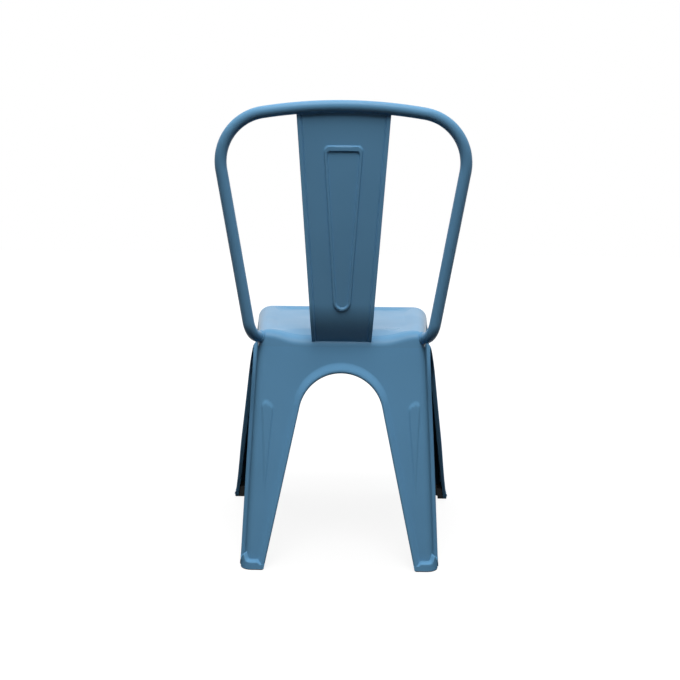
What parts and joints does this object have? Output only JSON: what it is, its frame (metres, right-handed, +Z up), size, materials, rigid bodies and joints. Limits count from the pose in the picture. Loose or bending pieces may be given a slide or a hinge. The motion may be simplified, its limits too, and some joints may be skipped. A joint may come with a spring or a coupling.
{
  "type": "metal bistro chair",
  "caption": "Pressed steel side chair with arched leg panels, square dished seat, tall bent tube hoop and a tapered sheet splat",
  "frame": {"origin": "on the floor, under the middle of the chair's bounding box and on its plane of symmetry", "axes": "+Z up, the sitter faces -Y and the back hoop is towards +Y, +X to the sitter's left"},
  "size_m": [0.4772, 0.5045, 0.8557],
  "materials": {
    "coated_steel": "satin blue powder coat over pressed steel",
    "rubber": "matt black moulded rubber"
  },
  "bodies": {
    "root": {"seat_pan": "coated_steel", "front_leg_panel": "coated_steel", "rear_leg_panel": "coated_steel", "side_leg_panel_left": "coated_steel", "side_leg_panel_right": "coated_steel", "foot_front_left": "rubber", "foot_front_right": "rubber", "foot_rear_left": "rubber", "foot_rear_right": "rubber", "back_hoop": "coated_steel", "hoop_weld_left": "coated_steel", "hoop_weld_right": "coated_steel", "back_splat": "coated_steel", "splat_top_weld": "coated_steel", "splat_foot_weld": "coated_steel", "brace_upper": "coated_steel", "brace_lower": "coated_steel", "brace_rivet": "coated_steel", "bumper_front_left": "rubber", "bumper_front_right": "rubber", "bumper_rear_left": "rubber", "bumper_rear_right": "rubber", "seat_weld": "coated_steel"}
  },
  "joints": []
}
